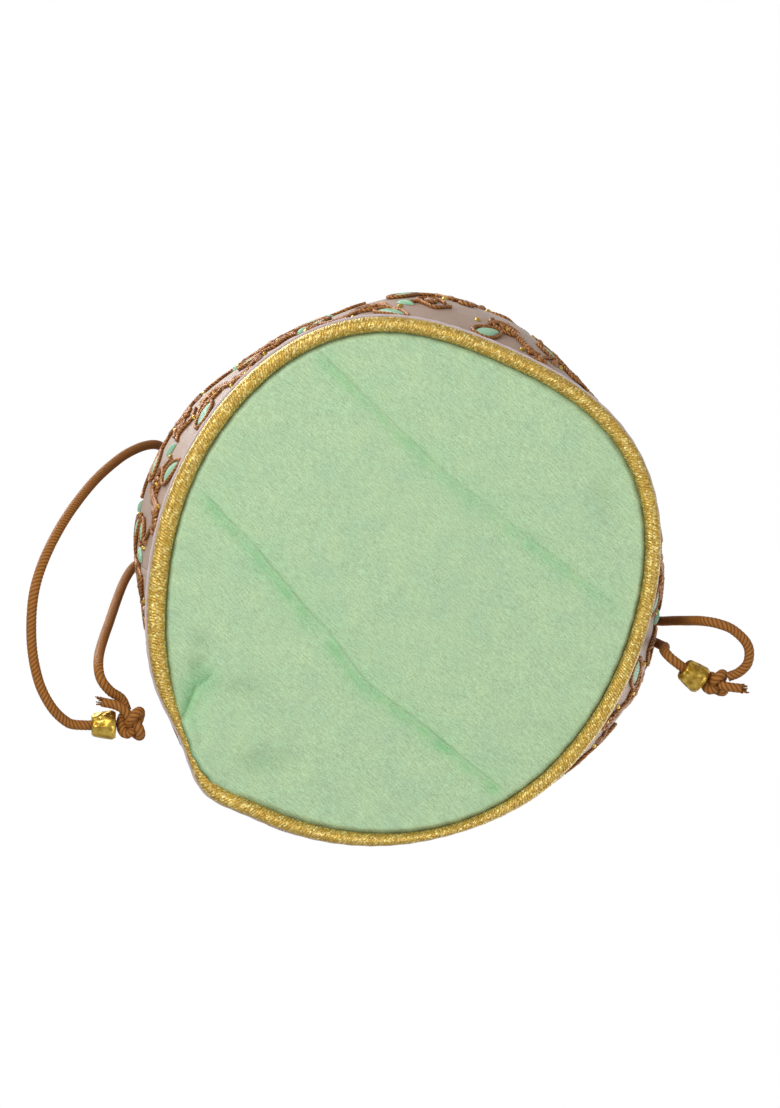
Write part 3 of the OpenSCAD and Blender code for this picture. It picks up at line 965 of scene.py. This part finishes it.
def casing_point(u, v):
    """The gathered neck: up round the casing, down the hole in the middle, and back below it."""
    angle = around(u)
    fold = pleat(angle)
    low, high = CASING_Z0 - 1.5, CASING_Z1 + 0.5
    outer, inner = NECK_R - 1.9 + 1.1 * fold, HOLE_R + 0.8 + 0.9 * fold
    if v < 0.45:
        t = v / 0.45
        return polar(outer + 0.9 * math.sin(math.pi * t), angle, mix(low, high, t))
    if v < 0.9:
        return polar(inner, angle, mix(high, low, (v - 0.45) / 0.45))
    return polar(mix(inner, outer, (v - 0.9) / 0.1), angle, low)


def frill_point(angle, t, out=0.0):
    """The frill above the casing, ruffled more and more towards its free edge."""
    wave = math.sin(FRILLS * angle + 1.2 * math.sin(2 * angle) + 0.6 * math.sin(5 * angle))
    grow = smooth(0.1, 1.0, t)
    ruffle = 4.6 * wave * grow + pleat(angle) * (1 - grow)
    r = NECK_R - 2.0 + (FRILL_R - NECK_R - 1.5) * t ** 1.5 + ruffle
    dip = 1.2 * math.sin(4 * angle) - 2.2 * (1 + wave)
    z = mix(CASING_Z1 - 0.2, FRILL_HIGH.z, t) + dip * grow
    swing = 0.05 * grow * math.cos(FRILLS * angle)
    return polar(r + out, angle + swing, z)


def braid_point(u, v):
    """The braid over the seam between wall and shoulder, a low arch across its width."""
    lift = Vector((0, 0, (v - 0.5) * BRAID_W))
    return wall_point(around(u), 1.0, 0.5 + 0.5 * math.sin(math.pi * v)) + lift


def gathered(name, rows, tall, place, material, cad_node, thick):
    """A cloth drawn in at the neck, from a strip as long as the girth and this tall."""
    cloth = closed_round(name, NECK_STEPS, rows, (TAU * SEAM_R, tall), place,
                         material, cad_node, thick)


def make_mouth():
    gathered("shoulder_silk", 40, 55, lambda u, v: shoulder_point(around(u), v),
             TOP_SILK, "shoulder_cloth", CLOTH_T)
    gathered("shoulder_inside", 24, 55, lambda u, v: shoulder_point(around(u), v, -LINING_GAP),
             LINING, "shoulder_lining", LINING_T)
    closed_round("casing_folds", NECK_STEPS, 40, (TAU * SEAM_R, 30), casing_point,
                 TOP_SILK, "drawstring_casing")
    gathered("frill_silk", 36, 42, lambda u, v: frill_point(around(u), v),
             TOP_SILK, "frill", CLOTH_T)
    gathered("frill_inside", 24, 42, lambda u, v: frill_point(around(u), v * 0.985, -0.9),
             LINING, "frill_lining", LINING_T)
    tube_round("frill_gold", ring_of(NECK_STEPS, lambda a: frill_point(a, 1.0, -0.4)),
               rope_radius(1.0, 2, 3.0, 0.25), 10, GOLD_BRAID, "frill_edging")
    closed_round("seam_braid", NECK_STEPS, 8, (TAU * SEAM_R, BRAID_W), braid_point,
                 GOLD_BRAID, "shoulder_braid", 0.5)

    bm = bmesh.new()
    for v in THREAD_ROWS:
        ring = [casing_point(i / 400, v) for i in range(400)]
        ring = [Vector((p.x * 1.015, p.y * 1.015, p.z)) for p in ring]
        add_tube(bm, ring, lambda s, turn: 0.3 + 0.1 * math.sin(s * 3.5), 8, closed=True)
    piece("casing_thread", bm, GOLD_BRAID, "casing_stitching")


make_mouth()


# -------- drawstrings

STRAND_Y = 1.5
EYELET_R = 1.9
EXIT_X = CORD_RING_R + CORD_R + 0.2
OUT_X = NECK_R + 1.5


def exit_points(side, cross, z):
    return [(side * EXIT_X, cross * STRAND_Y, z), (side * OUT_X, cross * STRAND_Y, z)]


# The routes of the four free strands are those of the part's source, but for the last bend of
# the right short one, which leaves its bead room to slide
ROUTES = {
    "left_long_strand": exit_points(-1, -1, LEFT_CORD_Z) + [
        (-27, -4, 125), (-36, -9, 119), (-45.5, -15.5, 113.5), (-53, -22.5, 104.5),
        (-58.2, -27.2, 91), (-61.3, -29.3, 76), (-65.4, -29, 66), (-71, -26.6, 52),
        (-78.5, -20.6, 32), (-86.3, -10.2, 13), (-91.2, 1.6, 3), (-92.2, 14, 1.3),
        (-90.6, 24.5, 1.4), (-87.4, 31.4, 2.1), (-83.4, 35.5, 3.4), (-80.4, 36.2, 3.8),
        (-71.5, 36.2, 3.8)],
    "left_short_strand": exit_points(-1, 1, LEFT_CORD_Z) + [
        (-27, 2, 125.5), (-36, 2, 120), (-47, 2.3, 114), (-57, 2.6, 103.5), (-63.8, 3, 89),
        (-66.8, 3.8, 79), (-69, 6, 69), (-70.8, 9, 57), (-73.1, 13.6, 36), (-75.4, 18.6, 16),
        (-75.9, 21.6, 6.5), (-75.2, 24.8, 3.2), (-73, 27.8, 4), (-70.2, 30, 5.4),
        (-68.9, 32.9, 5.2)],
    "right_long_strand": exit_points(1, -1, RIGHT_CORD_Z) + [
        (27, -2, 121.5), (36, 1, 118.8), (47, 6.5, 113.5), (55.2, 11.8, 104), (61.5, 15.5, 90),
        (66, 16.6, 75), (69.6, 16.4, 62), (71.2, 15.4, 48), (71.6, 13.4, 30), (72.6, 11.6, 13),
        (74.6, 10.8, 4.6), (78, 11.2, 1.6), (81.8, 12.8, 1.3), (85.4, 16.6, 1.3),
        (85.6, 20.8, 1.6), (83.6, 23.4, 2.4), (80.8, 24.7, 3)],
    "right_short_strand": exit_points(1, 1, RIGHT_CORD_Z) + [
        (27, 4, 121.5), (36, 8.5, 118.5), (46, 13.5, 112.5), (54, 17.6, 104), (59.8, 20.5, 90),
        (64.6, 21.4, 75), (68.2, 21.6, 62), (69.5, 20.9, 48), (69, 20, 30), (67, 18.6, 15.5),
        (65.6, 18.7, 8.2), (66.6, 20.1, 4.4), (69.2, 22.1, 3.8), (74.45, 25.8, 3.8)],
}


CORD_SIDES = 15


def cord_radius(share=1.0):
    return rope_radius(CORD_R * share, CORD_PLIES, CORD_PITCH, 0.1)


def make_cord_rings():
    for side, z in (("left", LEFT_CORD_Z), ("right", RIGHT_CORD_Z)):
        path = ring_of(160, lambda a: polar(CORD_RING_R, a, z))
        tube_round(side + "_ring_cord", path, cord_radius(), CORD_SIDES,
                   CORD, side + "_cord_ring")


def make_eyelets():
    """Buttonhole stitches round the two exits of the casing."""
    for side, sign, z in (("left", -1, LEFT_CORD_Z), ("right", 1, RIGHT_CORD_Z)):
        def rim(turn):
            y = math.copysign(STRAND_Y, math.cos(turn)) + EYELET_R * math.cos(turn)
            return Vector((sign * (NECK_R + 0.3), y, z + EYELET_R * math.sin(turn)))

        path = ring_of(60, rim)
        path = even_path(path + [path[0]], 0.3)[:-1]
        tube_round(side + "_buttonhole", path, rope_radius(0.6, 2, 0.8, 0.4), 8,
                   ZARI, side + "_eyelet")


def make_bead(side, turn):
    """A faceted bell bead on its strand, its wide end towards the knot."""
    half, small, big, hole = 3.0, 2.9, 3.7, CORD_R + 0.35
    profile = [(-half, hole), (-half, small - 0.5), (-half + 0.5, small), (-0.4, small + 0.45),
               (half - 1.0, big), (half, big - 0.5), (half, hole)]
    bm = bmesh.new()
    verts = [bm.verts.new(Vector((x, 0, r)) * MM) for x, r in profile]
    edges = [bm.edges.new(pair) for pair in zip(verts, verts[1:] + verts[:1])]
    bmesh.ops.spin(bm, geom=verts + edges, axis=(1, 0, 0), cent=(0, 0, 0), steps=14, angle=TAU,
                   use_merge=True)
    bmesh.ops.remove_doubles(bm, verts=bm.verts, dist=1e-6)
    bmesh.ops.recalc_face_normals(bm, faces=bm.faces)
    bmesh.ops.bevel(bm, geom=bm.edges[:], offset=0.16 * MM, segments=2, profile=0.5,
                    affect="EDGES", material=-1)
    place = Matrix.Translation(middle(side + "_bead") * MM)
    place = place @ Matrix.Rotation(math.radians(turn), 4, "Z")
    bmesh.ops.transform(bm, matrix=place, verts=bm.verts)
    return piece(side + "_brass_bead", bm, BRASS, side + "_bead", side + "_slider")


LOOSE_FIBRES, FIBRE_R = 22, 0.16


def make_knot(side, centre, lean, stretch, tail):
    """An overhand knot of the two ends pulled tight, and the tail that is left."""
    loop, lift = 0.94, 1.35
    turned = Matrix.Rotation(math.radians(lean), 3, "X") @ Matrix.Rotation(0.5, 3, "Z")

    def trefoil(t):
        x, y = math.sin(t) + 2 * math.sin(2 * t), math.cos(t) - 2 * math.cos(2 * t)
        p = turned @ Vector((x * loop, y * loop, -lift * math.sin(3 * t)))
        p.y *= stretch
        return Vector(centre) + p

    bm = bmesh.new()
    add_tube(bm, ring_of(110, trefoil), cord_radius(), CORD_SIDES, closed=True)
    tail_path = smooth_path(tail, 0.4)
    add_tube(bm, tail_path, cord_radius(0.97), CORD_SIDES)
    end = tail_path[-1]
    heading = (end - tail_path[-3]).normalized()
    random.seed(3 if side == "left" else 5)
    for _ in range(LOOSE_FIBRES):
        off = Vector((random.uniform(-1, 1), random.uniform(-1, 1), random.uniform(-0.8, 0.9)))
        root = end + off * 0.7 - heading * 0.5
        tip = root + heading * random.uniform(0.9, 1.7) + off * 0.45
        tip.z = max(tip.z, 0.3)
        fibre = even_path([root, (root + tip) / 2 + off * 0.1, tip], 0.4)
        add_tube(bm, fibre, lambda s, turn: FIBRE_R, 5)
    return piece(side + "_tied_knot", bm, CORD, side + "_knot", side + "_toggle")


def make_strand(name):
    path = smooth_path(ROUTES[name], 0.5)
    bm = bmesh.new()
    add_tube(bm, path, cord_radius(1.02), CORD_SIDES)
    strand = piece(name.replace("strand", "cord"), bm, CORD, name, None)
    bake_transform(strand)


make_cord_rings()
make_eyelets()
LEFT_BEAD = make_bead("left", 0)
RIGHT_BEAD = make_bead("right", 35)
LEFT_KNOT = make_knot("left", (-67.5, 36.0, 4.0), 25, 1.4, [
    (-68, 35, 2.4), (-69.2, 32.6, 1.6), (-71.6, 31, 1.4), (-75, 30.2, 1.4)])
RIGHT_KNOT = make_knot("right", (78, 26.3, 3.9), 20, 1.0, [
    (78.6, 26.5, 2.4), (80.6, 27, 1.7), (84, 27.4, 1.4)])
make_strand("left_long_strand")
make_strand("left_short_strand")
make_strand("right_long_strand")
make_strand("right_short_strand")


# -------- floor and light

# In metres, as are the places and sizes of the lights
FLOOR_SIZE, FLOOR_DROP = 30.0, 0.0002


def make_floor():
    """A pale floor that is clear from below, so that the base can be seen."""
    bm = bmesh.new()
    bmesh.ops.create_grid(bm, x_segments=1, y_segments=1, size=FLOOR_SIZE)
    mesh = bpy.data.meshes.new("floor")
    bm.to_mesh(mesh)
    bm.free()
    material, tree, shader = blank("floor_paint", 0.7)
    shader.inputs["Base Color"].default_value = (0.86, 0.86, 0.85, 1.0)
    clear = node(tree, "ShaderNodeBsdfTransparent")
    side = node(tree, "ShaderNodeNewGeometry")
    join = node(tree, "ShaderNodeMixShader", {
        0: side.outputs["Backfacing"], 1: shader.outputs[0], 2: clear.outputs[0]})
    tree.links.new(join.outputs[0], tree.nodes["Material Output"].inputs["Surface"])
    mesh.materials.append(material)
    floor = show("floor", mesh)
    floor.location.z = -FLOOR_DROP
    for ray in ("visible_diffuse", "visible_glossy", "visible_shadow", "visible_transmission"):
        setattr(floor, ray, False)


LIGHTS = (
    # name, place, height of its aim on the axis, size, power in watts
    ("soft_from_below", (-0.42, -0.4, -0.55), 0.0, 0.4, 4.2),
    ("fill_from_below", (0.6, 0.35, -0.8), 0.0, 0.8, 3.0),
    ("soft_from_above", (-0.5, -0.6, 0.9), 0.08, 0.6, 9.0),
    ("fill_from_above", (0.7, 0.5, 0.7), 0.08, 0.8, 3.5),
)


def make_light():
    world = bpy.data.worlds.new("studio")
    bpy.context.scene.world = world
    world.use_nodes = True
    tree = world.node_tree
    back = tree.nodes["Background"]
    back.inputs["Color"].default_value = (1.0, 1.0, 1.0, 1.0)
    rays = node(tree, "ShaderNodeLightPath")
    strength = node(tree, "ShaderNodeMapRange", {
        "Value": rays.outputs["Is Camera Ray"], "To Min": 0.55, "To Max": 1.0})
    tree.links.new(strength.outputs[0], back.inputs["Strength"])
    for name, place, aim_z, size, power in LIGHTS:
        data = bpy.data.lights.new(name, "AREA")
        data.size, data.energy = size, power
        light = show(name, data)
        light.location = place
        aim = Vector((0, 0, aim_z)) - Vector(place)
        light.rotation_euler = aim.to_track_quat("-Z", "Y").to_euler()
        light.visible_camera = False
    bpy.context.scene.view_settings.view_transform = "Standard"


make_floor()
make_light()
